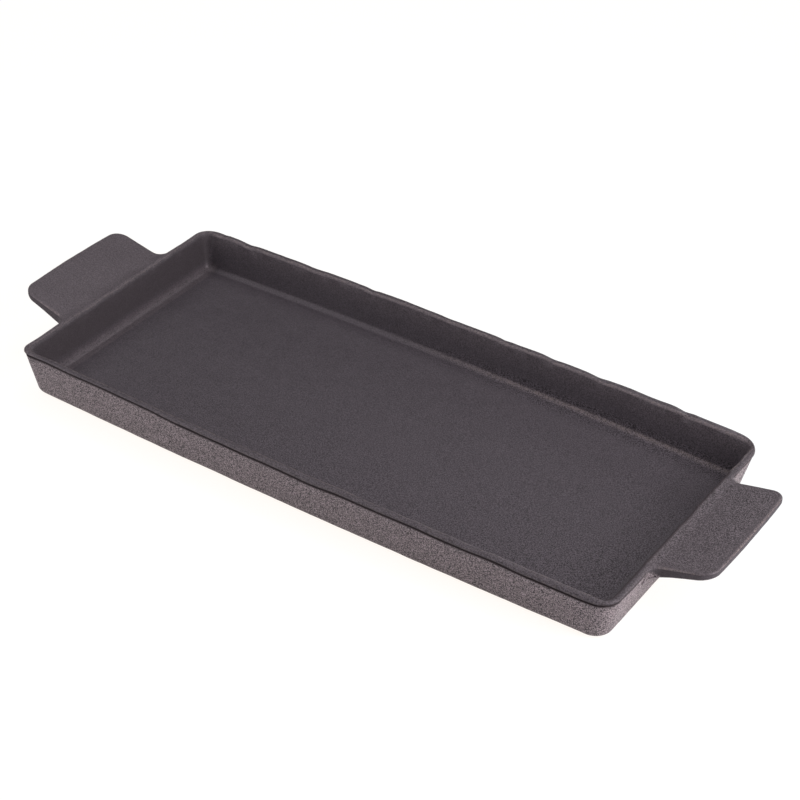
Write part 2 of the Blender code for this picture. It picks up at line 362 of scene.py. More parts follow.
def corner_radii(inset, height, level):
    """The radius of each corner at a level of the section."""
    if level <= RIM_FOOT:
        step = blend(BASE_CORNER_STEP, 0.0, height / TRAY_HEIGHT)
        return [radius - step for radius in RIM_CORNERS]
    if level <= INNER_LIP:
        share = share_between(inset, 0.0, WALL_THICKNESS)
        return [blend(radius, INNER_CORNER_RADIUS, share) for radius in RIM_CORNERS]
    share = (TRAY_HEIGHT - height) / (TRAY_HEIGHT - FLOOR_THICKNESS)
    return [blend(INNER_CORNER_RADIUS, FLOOR_CORNER_RADIUS, share)] * 4


def plan_point(role, inset, radii):
    """A station's place in the plan, at an inset from the rim, on long sides that swell."""
    corner, turn, share = role
    point = corner_point(corner, turn, inset, radii)
    if share:
        point = point.lerp(corner_point((corner + 1) % 4, 0.0, inset, radii), share)
    swell = 1 - (point.x / (TRAY_LENGTH / 2 - inset)) ** 2
    point.y += REAR_BOW * swell if point.y > 0 else -FRONT_BOW * swell
    return point


rim_points = [plan_point(role, 0.0, RIM_CORNERS) for role in roles]
station_wave = [rim_wave(point) for point in rim_points]
station_line = [mould_line_shift(point) for point in rim_points]


def lip_softness(point):
    """How far the inner lip is dressed away: much on the left end and at the rear right corner."""
    on_left = share_between(-point.x, TRAY_LENGTH / 2 - 0.030, TRAY_LENGTH / 2 - 0.004)
    at_corner = 1 - share_between((point - rear_right_corner).length, 0.010, 0.030)
    return blend(CRISP_LIP, SOFT_LIP, eased(max(on_left, at_corner)))


def soften_lip(inset, height, softness):
    """Moves a point of the section away from the inner lip's corner, into the wall."""
    from_lip = Vector((inset - WALL_THICKNESS, height - TRAY_HEIGHT))
    push = softness * max(0.0, 1 - from_lip.length / LIP_REACH) ** 2
    return inset - push, height - push


def ragged_lip(point):
    """How far the inner lip wanders sideways: half as much on the better dressed front side."""
    wander = sum(height * noise.noise(point / size) for height, size in RAGGED_WAVES)
    dressed = point.y < 0 and point.x > -TRAY_LENGTH / 2 + END_FULL
    return wander / 2 if dressed else wander


station_softness = [lip_softness(point) for point in rim_points]
station_ragged = [ragged_lip(point) for point in rim_points]


def line_pull(height, level):
    """How much of the mould line's wandering a level follows."""
    if level > OUTER_LIP:
        return 0.0
    if height > MOULD_LINE:
        return 1 - share_between(height, MOULD_LINE, TRAY_HEIGHT)
    return eased(share_between(height, MOULD_LINE - LINE_WAVE_REACH, MOULD_LINE))


def place_ring(verts, level):
    """Moves a loop of points to its level of the section, with the rim's wandering."""
    inset, height = section[level]
    radii = corner_radii(inset, height, level)
    lift = eased(share_between(height, MOULD_LINE - RIM_WAVE_REACH, TRAY_HEIGHT))
    pull = line_pull(height, level)
    from_lip = Vector((inset - WALL_THICKNESS, height - TRAY_HEIGHT)).length
    ragged = max(0.0, 1 - from_lip / RAGGED_REACH) if level > OUTER_LIP else 0.0
    for vert in verts:
        station = vert[station_of]
        here, up = inset, height
        if level > OUTER_LIP:
            here, up = soften_lip(inset, height, station_softness[station])
            here += station_ragged[station] * ragged
        vert.co = plan_point(roles[station], here, radii)
        vert.co.z = up + station_wave[station] * lift + station_line[station] * pull
        vert[level_of] = level


def fill_loop(loop_edges, level):
    """Fills a loop with squares, between the diagonals of its corners."""
    rails = []
    for edge in loop_edges:
        middle = sum(vert[station_of] for vert in edge.verts) / 2
        if diagonals[0] < middle < diagonals[1] or diagonals[2] < middle < diagonals[3]:
            rails.append(edge)
    old = set(casting.verts)
    filled = bmesh.ops.grid_fill(casting, edges=rails, use_smooth=True)["faces"]
    for vert in {vert for face in filled for vert in face.verts} - old:
        vert[level_of] = level
    return len(filled)


place_ring(casting.verts, 0)
bmesh.ops.delete(casting, geom=casting.faces[:], context="FACES_ONLY")
underside_loop = casting.edges[:]
loop_edges = underside_loop
for level in range(1, len(section)):
    raised = bmesh.ops.extrude_edge_only(casting, edges=loop_edges)["geom"]
    place_ring([item for item in raised if isinstance(item, bmesh.types.BMVert)], level)
    loop_edges = [item for item in raised if isinstance(item, bmesh.types.BMEdge)
                  and all(vert[level_of] == level for vert in item.verts)]
print("floor squares:", fill_loop(loop_edges, FLOOR_LEVEL))
print("underside squares:", fill_loop(underside_loop, UNDERSIDE_LEVEL))
print("tray:", len(casting.verts), "points,", len(casting.faces), "faces")

# %% [markdown]
# ## The handles
#
# The handles grow out of the end walls, with a concave root and no seam, because they are cast
# in the same mould. So we don't add plates: we pick the faces of the end wall where a handle
# starts and extrude them outward, layer by layer. Each layer's width, height and rounding come
# from the handle's plan, which ends in two rounded corners.

# %% Size of the handles
HANDLE_LENGTH = 0.0292
HANDLE_ROOT_WIDTH = 0.0768
HANDLE_TIP_WIDTH = 0.0754
HANDLE_RISE = 0.0068
HANDLE_ROOT_THICKNESS = 0.0064
HANDLE_TIP_THICKNESS = 0.0036
HANDLE_CORNER_RADIUS = 0.0078
HANDLE_ROOT_FILLET = 0.0055
HANDLE_UNDER_FILLET = 0.0025
HANDLE_TOP_ROUNDING = 0.0013
HANDLE_BOTTOM_ROUNDING = 0.0010
HANDLE_END_BOW = 0.0006
LEFT_HANDLE_SHIFT = 0.0017
TILT_START = 0.004
ROOT_LAYERS = 8
PLAIN_LAYERS = 18
CORNER_LAYERS = 12
# The share of the edge's points that rounds its bottom, and again its top
ROUNDED = 0.3
# A handle's points keep at least this reach, which tells them from the wall's
LEAST_REACH = 0.0001
# How far in from the end the groove is looked for, and how far beside a root it fades out
GROOVE_SEARCH = 0.004
GROOVE_FADE = 0.005


def handle_layers():
    """Each layer of the handle: its reach, its half width and its plan normal (reach, across)."""
    layers = []
    for step in range(1, ROOT_LAYERS + 1):
        angle = math.pi / 2 * step / ROOT_LAYERS
        layers.append((HANDLE_ROOT_FILLET * (1 - math.cos(angle)),
                       HANDLE_ROOT_WIDTH / 2 + HANDLE_ROOT_FILLET * (1 - math.sin(angle)),
                       math.cos(angle), math.sin(angle)))
    end = HANDLE_LENGTH - HANDLE_END_BOW - HANDLE_CORNER_RADIUS
    for step in range(1, PLAIN_LAYERS + 1):
        share = step / PLAIN_LAYERS
        layers.append((blend(HANDLE_ROOT_FILLET, end, share),
                       blend(HANDLE_ROOT_WIDTH, HANDLE_TIP_WIDTH, share) / 2, 0.0, 1.0))
    for step in range(1, CORNER_LAYERS + 1):
        angle = math.pi / 2 * step / CORNER_LAYERS
        layers.append((end + HANDLE_CORNER_RADIUS * math.sin(angle),
                       HANDLE_TIP_WIDTH / 2 - HANDLE_CORNER_RADIUS * (1 - math.cos(angle)),
                       math.sin(angle), math.cos(angle)))
    return layers


def handle_top(reach):
    """Height of the handle's top above the rim: it starts level and then tilts up evenly."""
    slope = HANDLE_RISE / (HANDLE_LENGTH - TILT_START / 2)
    if reach <= 0:
        return 0.0
    if reach < TILT_START:
        return slope * reach * reach / (2 * TILT_START)
    return slope * (reach - TILT_START / 2)


def handle_thickness(reach):
    """Thick at the root, where a fillet meets the wall, and thin at the tip."""
    share = share_between(reach, 0.0, HANDLE_LENGTH)
    plate = blend(HANDLE_TIP_THICKNESS, HANDLE_ROOT_THICKNESS, (1 - share) ** 2)
    near = share_between(reach, 0.0, HANDLE_ROOT_FILLET)
    return plate + HANDLE_UNDER_FILLET * (1 - math.sqrt(max(0.0, 1 - (1 - near) ** 2)))


def edge_rounding(share):
    """The handle's rounded edge, at a share of the way from its bottom to its top: the inset,
    the share of the thickness below it, and the lift that the rounding adds."""
    if share > 1 - ROUNDED:
        angle = math.pi / 2 * (1 - share) / ROUNDED
        lift = -HANDLE_TOP_ROUNDING * (1 - math.cos(angle))
        return HANDLE_TOP_ROUNDING * (1 - math.sin(angle)), 1.0, lift
    if share < ROUNDED:
        angle = math.pi / 2 * share / ROUNDED
        lift = HANDLE_BOTTOM_ROUNDING * (1 - math.cos(angle))
        return HANDLE_BOTTOM_ROUNDING * (1 - math.sin(angle)), 0.0, lift
    middle = (share - ROUNDED) / (1 - 2 * ROUNDED)
    return 0.0, middle, blend(HANDLE_BOTTOM_ROUNDING, -HANDLE_TOP_ROUNDING, middle)


print("handle layers:", len(handle_layers()))


# %% Grow the handles
handle_foot_height = TRAY_HEIGHT - HANDLE_ROOT_THICKNESS - HANDLE_UNDER_FILLET
HANDLE_FOOT = min(range(RIM_FOOT), key=lambda index: abs(section[index][1] - handle_foot_height))


def share_up(level):
    """How far up the handle's root a level of the wall's section lies."""
    foot = section[HANDLE_FOOT][1]
    return (section[level][1] - foot) / (section[OUTER_LIP][1] - foot)


def root_faces(facing, middle):
    """The end wall's faces that a handle grows from."""
    half = HANDLE_ROOT_WIDTH / 2 + HANDLE_ROOT_FILLET
    stations = {station for station, point in enumerate(rim_points)
                if point.x * facing > TRAY_LENGTH / 2 - 0.0001 and abs(point.y - middle) < half}
    return [face for face in casting.faces
            if all(vert[station_of] in stations and HANDLE_FOOT <= vert[level_of] <= OUTER_LIP
                   for vert in face.verts)]


def grow_handle(facing, middle):
    """Takes a handle's root faces out of the wall, grows the handle from them and puts it back."""
    chosen = root_faces(facing, middle)
    numbers = {face.index for face in chosen}
    handle = casting.copy()
    others = [face for face in handle.faces if face.index not in numbers]
    bmesh.ops.delete(handle, geom=others, context="FACES")
    bmesh.ops.delete(casting, geom=chosen, context="FACES")
    station_layer = handle.verts.layers.int["station"]
    level_layer = handle.verts.layers.int["level"]
    reach_layer = handle.verts.layers.float["reach"]
    across = {vert[station_layer]: vert.co.y - middle for vert in handle.verts}
    near, far = min(across.values()), max(across.values())
    shares = {station: (2 * y - far - near) / (far - near) for station, y in across.items()}
    faces = handle.faces[:]
    layers = handle_layers()
    for index, (reach, half, normal_reach, normal_across) in enumerate(layers):
        last = index == len(layers) - 1
        raised = bmesh.ops.extrude_face_region(handle, geom=faces)["geom"]
        bmesh.ops.delete(handle, geom=faces, context="FACES")
        faces = [item for item in raised if isinstance(item, bmesh.types.BMFace)]
        fade = 1 - eased(share_between(reach, 0.0, HANDLE_ROOT_FILLET))
        for vert in (item for item in raised if isinstance(item, bmesh.types.BMVert)):
            share = shares[vert[station_layer]]
            level = vert[level_layer]
            if not last and abs(share) < 1 - 1e-6 and HANDLE_FOOT < level < OUTER_LIP:
                continue
            inset, from_bottom, lift = edge_rounding(share_up(level))
            here = reach - inset * normal_reach
            y = share * (half - inset * normal_across)
            if last:
                here += HANDLE_END_BOW * (1 - share * share)
            wall = OUTER_TAPER * max(0.0, 1 - section[level][1] / MOULD_LINE)
            top = TRAY_HEIGHT + handle_top(here)
            height = top - handle_thickness(here) * (1 - from_bottom) + lift
            height += station_wave[vert[station_layer]] * fade * from_bottom
            vert.co = Vector((facing * (TRAY_LENGTH / 2 + here - wall * fade), middle + y, height))
            vert[reach_layer] = max(here, LEAST_REACH)
    grown = bpy.data.meshes.new("grown_handle")
    handle.to_mesh(grown)
    handle.free()
    casting.from_mesh(grown)
    bpy.data.meshes.remove(grown)
    seam = [vert for vert in casting.verts if vert.is_boundary]
    bmesh.ops.remove_doubles(casting, verts=seam, dist=1e-6)
    return len(seam)


def close_groove(facing, middle):
    """Fades the mould line's groove out towards a handle's root."""
    half = HANDLE_ROOT_WIDTH / 2 + HANDLE_ROOT_FILLET
    for vert in casting.verts:
        inset = TRAY_LENGTH / 2 - vert.co.x * facing
        if not 0 < vert[level_of] <= OUTER_LIP or inset > GROOVE_SEARCH:
            continue
        height = section[vert[level_of]][1]
        if GROOVE_FOOT < height < CAP_FOOT:
            closed = 1 - share_between(abs(vert.co.y - middle) - half, 0.0, GROOVE_FADE)
            flush = blend(GROOVE_FOOT_INSET, 0.0, share_between(height, GROOVE_FOOT, MOULD_LINE))
            vert.co.x += facing * max(0.0, inset - flush) * closed


for facing, middle in ((1, 0.0), (-1, -LEFT_HANDLE_SHIFT)):
    close_groove(facing, middle)
    casting.faces.index_update()
    print("handle", facing, "joined at", grow_handle(facing, middle), "points")
bmesh.ops.recalc_face_normals(casting, faces=casting.faces)
open_edges = [edge for edge in casting.edges if len(edge.link_faces) != 2]
print("open edges:", len(open_edges), "faces:", len(casting.faces))

# %% [markdown]
# ## Unevenness of the casting
#
# Sand and molten iron never leave a true surface. A little noise of three sizes moves every
# point along its normal, inside and outside alike. A bump map would only shade the faces, but
# real shape makes the edges wander too. The flat underside stays true, so that the platter
# stands still.

# %% Roughen the shape
# Size and height of each kind of lump
LUMPS = ((0.016, 0.00010), (0.0065, 0.00006), (0.0028, 0.00003))
# Points below this height are on the flat underside
UNDERSIDE_TOP = 1e-5


def lumps(point):
    """How far the lumps lift the surface at a point."""
    return sum(height * noise.noise(point / size) for size, height in LUMPS)


casting.normal_update()
moves = [(vert, vert.normal * lumps(vert.co)) for vert in casting.verts
         if vert.co.z > UNDERSIDE_TOP]
for vert, move in moves:
    vert.co += move
furthest = max(move.length for vert, move in moves)
print("points moved:", len(moves), "furthest:", round(furthest * 1000, 3), "mm")

# %% [markdown]
# ## Where the finish changes
#
# One casting, but not one finish: the outer walls took the print of coarse sand, and the inside
# and the rim were dressed smooth. We note these as masks on the points, which every material can
# read: coarse grain; pale raw iron, which also carries painted light high on the rear wall and
# painted highlights on the fillets; painted shade in the mould line's groove, on the handles'
# sides, on the left inner wall and under the right end's inner lip; and painted highlights along
# the lips and edges. Each fades between two distances, given in metres, so that no finish ends
# in a line.

# %% Paint the masks
# Coarse grain, pale raw iron with painted light, painted shade and painted highlights
MASKS = ("coarse", "pale_and_painted_light", "painted_shade", "painted_highlight")
mask_layers = [casting.verts.layers.float.new(name) for name in MASKS]
UNDERSIDE_MASKS = (1.0, 0.9, 0.0, 0.0)
HANDLE_BORDER = 0.004
REAR_FILLET_Y = 0.0595
REAR_FILLET_TOP = 0.011
FILLET_HEIGHT = FLOOR_THICKNESS + 0.0012
# The right end's rim is dressed as one piece up to this y, short of the rear corner
RIGHT_RIM_Y = 0.045
# The direction in which the grain grows, and where on it the grain is finest and coarsest
GRAIN_GROWS = Vector((0.524, -0.852, 0.0))
GRAIN_FINEST, GRAIN_COARSEST = -0.10, 0.12


def grain_growth(point):
    """How far the grain has grown, from the rear left corner to the front right one."""
    return share_between(point.dot(GRAIN_GROWS), GRAIN_FINEST, GRAIN_COARSEST)


def handle_masks(point, reach, level):
    """Coarse grain on the right handle, smooth towards its edges; the left one is smooth."""
    from_bottom = share_up(level)
    if from_bottom < blend(0.7, 0.2, share_between(reach, 0.0005, 0.0060)):
        return 1.0, 0.8, 0.0, 0.0
    if from_bottom < 0.8:
        # The side band under the top's rounding: painted shade
        return 0.3, 0.0, 0.45, 0.0
    on_right = point.x > 0
    middle = 0.0 if on_right else -LEFT_HANDLE_SHIFT
    to_side = HANDLE_ROOT_WIDTH / 2 - abs(point.y - middle)
    to_edge = min(HANDLE_LENGTH - reach, to_side)
    # A painted highlight along the edges of the top
    painted_highlight = 0.8 * (1 - eased(share_between(to_edge, 0.0006, 0.0016)))
    painted_highlight *= share_between(reach, 0.002, 0.005)
    if not on_right:
        return 0.2, 0.19, 0.0, painted_highlight
    inside = eased(share_between(to_edge, 0.0015, HANDLE_BORDER + 0.0015))
    return blend(0.45, 0.8, inside), 0.22, 0.0, painted_highlight


def groove_share(level):
    """How much of a level lies in the mould line's groove."""
    from_middle = abs(section[level][1] - GROOVE_MIDDLE)
    return 1 - share_between(from_middle, 0.0007, 0.0011)


def rim_masks(point, level):
    """The dressed cap: painted highlights on its two edges, painted shade in the mould line."""
    coarse, pale_and_painted_light = blend(0.3, 0.7, grain_growth(point)), 0.0
    on_right = point.x > TRAY_LENGTH / 2 - 0.006 and point.y < RIGHT_RIM_Y
    if on_right and abs(point.y) < HANDLE_ROOT_WIDTH / 2:
        coarse, pale_and_painted_light = 0.8, 0.2
    pale_and_painted_light = max(pale_and_painted_light, 0.35 * (1 - share_between((point - rear_right_corner).length, 0.015, 0.035)),
               0.22 * (1 - share_between(point.x + TRAY_LENGTH / 2, 0.005, 0.015)))
    if level <= OUTER_LIP:
        above_groove = 1 - share_between(section[level][1], CAP_FOOT, CAP_EDGE)
        # On the right end the painted shade runs on from the groove over the cap's lower edge
        if on_right:
            return coarse, pale_and_painted_light, max(groove_share(level), above_groove), 0.15
        # Elsewhere a painted highlight runs along the cap's lower edge, just above the groove
        return coarse, pale_and_painted_light, groove_share(level), blend(0.12, 0.5, above_groove)
    at_lip = share_between(level, INNER_LIP - 1, INNER_LIP)
    # Under the right end's inner lip painted shade, on the other lips a painted highlight
    if on_right:
        return coarse, pale_and_painted_light, 0.8 * at_lip, 0.0
    return coarse, pale_and_painted_light, 0.0, 0.5 * at_lip


def inner_masks(point, level):
    """Inside the lip: painted highlights on the lip and the fillets, painted shade on the
    left wall and under the right end's lip, and painted light high on the rear wall.
    """
    height = section[level][1]
    grown = grain_growth(point)
    below_lip = TRAY_HEIGHT - height
    at_lip = 1 - share_between(below_lip, 0.0002, 0.0010)
    coarse = blend(0.2, 0.5, grown)
    upper = 1 - share_between(below_lip, 0.001, 0.011)
    on_wall = share_between(height, FLOOR_THICKNESS + 0.003, FLOOR_THICKNESS + 0.006)
    at_fillet = 1 - share_between(abs(height - FILLET_HEIGHT), 0.0003, 0.0012)
    # A painted highlight along the lip
    pale_and_painted_light, painted_darkness, painted_highlight = 0.0, 0.0, 0.5 * at_lip
    if point.x < -TRAY_LENGTH / 2 + blend(0.0125, 0.0078, on_wall):
        shaded = share_between(below_lip, 0.0003, 0.0016)
        wide = 1 - share_between(abs(height - FILLET_HEIGHT), 0.0010, 0.0034)
        # On the left end: a painted highlight on the fillet, painted shade on the wall below the
        # lip
        pale_and_painted_light, painted_darkness, painted_highlight = 0.24 * wide, 0.55 * on_wall * shaded, painted_highlight * 0.4
    elif point.y > REAR_FILLET_Y:
        # On the rear wall: painted light on its upper part
        pale_and_painted_light = 0.20 * upper * on_wall
        if height < REAR_FILLET_TOP:
            on_right = eased(share_between(point.x, -0.06, 0.05))
            coarse += 0.5 * on_right
            # On the rear fillet, towards the right: coarser grain and a painted highlight
            pale_and_painted_light = 0.25 * on_right * at_fillet
            painted_highlight = 0.5 * on_right * at_fillet
    elif point.x > TRAY_LENGTH / 2 - 0.012 and point.y < RIGHT_RIM_Y:
        # On the right end: painted shade just under the inner lip
        painted_highlight, painted_darkness = 0.0, 0.9 * (1 - share_between(abs(below_lip - 0.0004), 0.0004, 0.0010))
    return coarse, pale_and_painted_light, painted_darkness, painted_highlight


def ring_masks(point, level):
    """Raw outside with painted shade in its mould line, dressed rim, and smooth inside."""
    if level <= RIM_FOOT:
        grown = eased(min(grain_growth(point) * 2, 1.0))
        return blend(0.45, 1.0, grown), 1.0, groove_share(level), 0.0
    if level <= INNER_LIP:
        return rim_masks(point, level)
    return inner_masks(point, level)


def floor_masks(point):
    """The cooking floor: its grain grows towards the front right corner."""
    return blend(0.15, 1.0, grain_growth(point) ** 1.2), 0.0, 0.0, 0.0


for vert in casting.verts:
    level = vert[level_of]
    if vert[reach_of] > 0:
        masks = handle_masks(vert.co, vert[reach_of], level)
    elif level == FLOOR_LEVEL:
        masks = floor_masks(vert.co)
    elif level == UNDERSIDE_LEVEL:
        masks = UNDERSIDE_MASKS
    else:
        masks = ring_masks(vert.co, level)
    for layer, value in zip(mask_layers, masks):
        vert[layer] = value
print("masks painted on", len(casting.verts), "points")

# %% [markdown]
# ## Dividing the casting
#
# The CAD keeps the floor, the walls and the handles as sections of their own, so that each has
# its own material slot. We cut the surface along the same planes. Every section gets the same
# points along a cut, and it keeps the normals of the whole casting, so no seam shows.

# %% Cut along the joints
FLOOR_JOINT_X = 0.15335
FLOOR_JOINT_Y = 0.06285
HANDLE_JOINT = 0.1662
# Faces this near to a joint's plane are cut along it
NEAR = 0.002


def cut_near(plane_point, plane_normal, wanted):
    """Cuts the faces for which wanted(centre) is true along a plane."""
    faces = [face for face in casting.faces if wanted(face.calc_center_median())]
    geometry = set(faces)
    for face in faces:
        geometry.update(face.edges)
        geometry.update(face.verts)
    bmesh.ops.bisect_plane(casting, geom=list(geometry), plane_co=plane_point,
                           plane_no=plane_normal)


for side in (1, -1):
    cut_near(Vector((side * FLOOR_JOINT_X, 0, 0)), Vector((1, 0, 0)),
             lambda c: abs(c.x - side * FLOOR_JOINT_X) < NEAR and abs(c.y) < FLOOR_JOINT_Y + NEAR)
    cut_near(Vector((0, side * FLOOR_JOINT_Y, 0)), Vector((0, 1, 0)),
             lambda c: abs(c.y - side * FLOOR_JOINT_Y) < NEAR and abs(c.x) < FLOOR_JOINT_X + NEAR)
    cut_near(Vector((side * HANDLE_JOINT, 0, 0)), Vector((1, 0, 0)),
             lambda c: abs(c.x - side * HANDLE_JOINT) < NEAR)
for side_x, side_y in CORNER_SIDES:
    cut_near(Vector((side_x * FLOOR_JOINT_X, side_y * FLOOR_JOINT_Y, 0)),
             Vector((side_x, -side_y, 0)).normalized(),
             lambda c: c.x * side_x > FLOOR_JOINT_X - NEAR and c.y * side_y > FLOOR_JOINT_Y - NEAR)

mesh = bpy.data.meshes.new("whole_casting")
casting.to_mesh(mesh)
casting.free()
mesh.shade_smooth()
mesh.set_sharp_from_angle(angle=math.radians(50))
normals = mesh.attributes.new("whole_normal", "FLOAT_VECTOR", "CORNER")
for index, corner in enumerate(mesh.corner_normals):
    normals.data[index].vector = corner.vector
print("whole casting:", len(mesh.polygons), "faces")


# %% Take out the sections
def section_of(centre):
    """The CAD section that a face belongs to."""
    beyond_x = abs(centre.x) - FLOOR_JOINT_X
    beyond_y = abs(centre.y) - FLOOR_JOINT_Y
    side = "right" if centre.x > 0 else "left"
    if abs(centre.x) > HANDLE_JOINT:
        return side + "_handle"
    if beyond_x < 0 and beyond_y < 0:
        return "cooking_floor"
    if beyond_x > beyond_y:
        return side + "_end_wall"
    return "rear_wall" if centre.y > 0 else "front_wall"


def on_floor_joint(vert):
    """Whether a point lies on the planes round the cooking floor."""
    beyond = max(abs(vert.co.x) - FLOOR_JOINT_X, abs(vert.co.y) - FLOOR_JOINT_Y)
    return abs(beyond) < 1e-6


def take_section(name):
    """A closed object of one section, with the normals of the whole casting."""
    part = bmesh.new()
    part.from_mesh(mesh)
    others = [face for face in part.faces if section_of(face.calc_center_median()) != name]
    bmesh.ops.delete(part, geom=others, context="FACES")
    surface = set(part.faces)
    foot = [edge for edge in part.edges
            if edge.is_boundary and all(on_floor_joint(vert) for vert in edge.verts)]
    if foot:
        bmesh.ops.bridge_loops(part, edges=foot)
    bmesh.ops.holes_fill(part, edges=[edge for edge in part.edges if edge.is_boundary])
    is_cap = part.faces.layers.int.new("is_cap")
    for face in part.faces:
        face[is_cap] = face not in surface
    bmesh.ops.triangulate(part, faces=[face for face in part.faces if face[is_cap]])
    bmesh.ops.recalc_face_normals(part, faces=part.faces)
    open_edges = sum(1 for edge in part.edges if len(edge.link_faces) != 2)
    data = bpy.data.meshes.new(name + "_casting")
    part.to_mesh(data)
    part.free()
    whole_normals = data.attributes["whole_normal"].data
    cap_marks = data.attributes["is_cap"].data
    wanted = [None] * len(data.loops)
    for polygon in data.polygons:
        for corner in polygon.loop_indices:
            on_cap = cap_marks[polygon.index].value
            wanted[corner] = polygon.normal[:] if on_cap else whole_normals[corner].vector[:]
    data.normals_split_custom_set(wanted)
    for layer in ("whole_normal", "is_cap", "station", "level", "reach"):
        data.attributes.remove(data.attributes[layer])
    obj = bpy.data.objects.new(name + "_casting", data)
    bpy.context.scene.collection.objects.link(obj)
    print(name, "has", len(data.polygons), "faces and", open_edges, "open edges")
    return obj


sections = {name: take_section(name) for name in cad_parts}
bpy.data.meshes.remove(mesh)

# %% [markdown]
# ## Black iron
#
# Seasoned iron is dark and a little glossy: a thin skin of baked oil over grey iron. What we see
# is mostly grain, so the grain comes first, as two node groups that every material shares: the
# coarse print of the sand, and the fine grain of the dressed surfaces. An image would need an
# unwrapped surface, but noise in the platter's own coordinates runs on across every joint.


# %% Node helpers
def new_grain(name):
    """An empty group that turns a place into a height and a shade: the group, its two ends."""
    group = bpy.data.node_groups.new(name, "ShaderNodeTree")
    for label, end, kind in (("Vector", "INPUT", "NodeSocketVector"),
                             ("Height", "OUTPUT", "NodeSocketFloat"),
                             ("Shade", "OUTPUT", "NodeSocketFloat")):
        group.interface.new_socket(name=label, in_out=end, socket_type=kind)
    start = group.nodes.new("NodeGroupInput").outputs["Vector"]
    return group, start, group.nodes.new("NodeGroupOutput")


def add_noise(tree, vector, scale, detail=2.0, roughness=0.5):
    """Noise from 0 to 1."""
    node = tree.nodes.new("ShaderNodeTexNoise")
    node.inputs["Scale"].default_value = scale
    node.inputs["Detail"].default_value = detail
    node.inputs["Roughness"].default_value = roughness
    tree.links.new(vector, node.inputs["Vector"])
    return node.outputs["Fac"]


def add_math(tree, operation, first, second=None, third=None):
    """A sum or product of numbers and sockets."""
    node = tree.nodes.new("ShaderNodeMath")
    node.operation = operation
    for socket, value in zip(node.inputs, (first, second, third)):
        if isinstance(value, bpy.types.NodeSocket):
            tree.links.new(value, socket)
        elif value is not None:
            socket.default_value = value
    return node.outputs[0]


def add_range(tree, value, low, high, new_low, new_high):
    """A value taken from one range into another and held there."""
    node = tree.nodes.new("ShaderNodeMapRange")
    limits = {"From Min": low, "From Max": high, "To Min": new_low, "To Max": new_high}
    for label, number in limits.items():
        node.inputs[label].default_value = number
    tree.links.new(value, node.inputs["Value"])
    return node.outputs["Result"]


def add_mix(tree, share, first, second, kind="RGBA"):
    """A mix of two colours, or of two numbers where the kind is VALUE."""
    node = tree.nodes.new("ShaderNodeMix")
    node.data_type = "RGBA" if kind == "RGBA" else "FLOAT"
    for label, form, value in (("Factor", "VALUE", share), ("A", kind, first), ("B", kind, second)):
        socket = next(item for item in node.inputs if item.name == label and item.type == form)
        if isinstance(value, bpy.types.NodeSocket):
            tree.links.new(value, socket)
        else:
            socket.default_value = value
    return next(item for item in node.outputs if item.type == kind)


print("node helpers ready")

# %% Coarse and fine grain
# Noise scales in one over metres, and heights in millimetres
SAND_SCALE, SAND_HEIGHT = 1600.0, 0.34
LUMP_SCALE, LUMP_HEIGHT = 420.0, 0.16
PIT_SCALE, PIT_DEPTH = 800.0, 0.05
SPECK_SCALE = 1700.0
FINE_SCALE, FINE_HEIGHT = 2400.0, 0.020
SOFT_SCALE, SOFT_HEIGHT = 700.0, 0.012
FINE_SHADE_SCALE = FINE_SCALE * 0.6
# How much a pit darkens, and which values of the pattern become which depths and shades
PIT_SHADE = 0.25
PIT_RANGE = (0.1, 0.45, 1.0, 0.0)
SPECK_RANGE = (0.41, 0.59, 0.0, 2.05)
FINE_RANGE = (0.35, 0.65, 0.72, 1.28)


def add_relief(tree, vector, scale, height, detail=2.0, roughness=0.5):
    """Noise as a height in millimetres, above and below zero."""
    centred = add_math(tree, "SUBTRACT", add_noise(tree, vector, scale, detail, roughness), 0.5)
    return add_math(tree, "MULTIPLY", centred, height)


coarse_grain, vector, end = new_grain("coarse_grain")
cells = coarse_grain.nodes.new("ShaderNodeTexVoronoi")
cells.inputs["Scale"].default_value = PIT_SCALE
coarse_grain.links.new(vector, cells.inputs["Vector"])
pits = add_range(coarse_grain, cells.outputs["Distance"], *PIT_RANGE)
sand = add_relief(coarse_grain, vector, SAND_SCALE, SAND_HEIGHT, 3.0, 0.65)
lump = add_relief(coarse_grain, vector, LUMP_SCALE, LUMP_HEIGHT)
height = add_math(coarse_grain, "ADD", sand, lump)
height = add_math(coarse_grain, "MULTIPLY_ADD", pits, -PIT_DEPTH, height)
specks = add_noise(coarse_grain, vector, SPECK_SCALE, 2.0, 0.7)
specks = add_range(coarse_grain, specks, *SPECK_RANGE)
shade = add_math(coarse_grain, "MULTIPLY_ADD", pits, -PIT_SHADE, specks)
coarse_grain.links.new(height, end.inputs["Height"])
coarse_grain.links.new(shade, end.inputs["Shade"])

fine_grain, vector, end = new_grain("fine_grain")
fine = add_relief(fine_grain, vector, FINE_SCALE, FINE_HEIGHT, 2.0, 0.6)
soft = add_relief(fine_grain, vector, SOFT_SCALE, SOFT_HEIGHT)
height = add_math(fine_grain, "ADD", fine, soft)
shade = add_range(fine_grain, add_noise(fine_grain, vector, FINE_SHADE_SCALE), *FINE_RANGE)
fine_grain.links.new(height, end.inputs["Height"])
fine_grain.links.new(shade, end.inputs["Shade"])
print("grain groups:", coarse_grain.name, fine_grain.name)

# %% [markdown]
# ## The iron's finish
#
# The floor, the walls and the handles have slots of their own, but one recipe fills all three,
# because unlike recipes would meet in a visible line. The masks mix the two grains, make the raw
# outside pale, paint light high on the rear wall, put painted shade in the mould line's groove
# and other shaded places, and lay painted highlights, in patches and a little glossier, along
# lips, edges and fillets. A slow mottle varies its tone and its gloss.

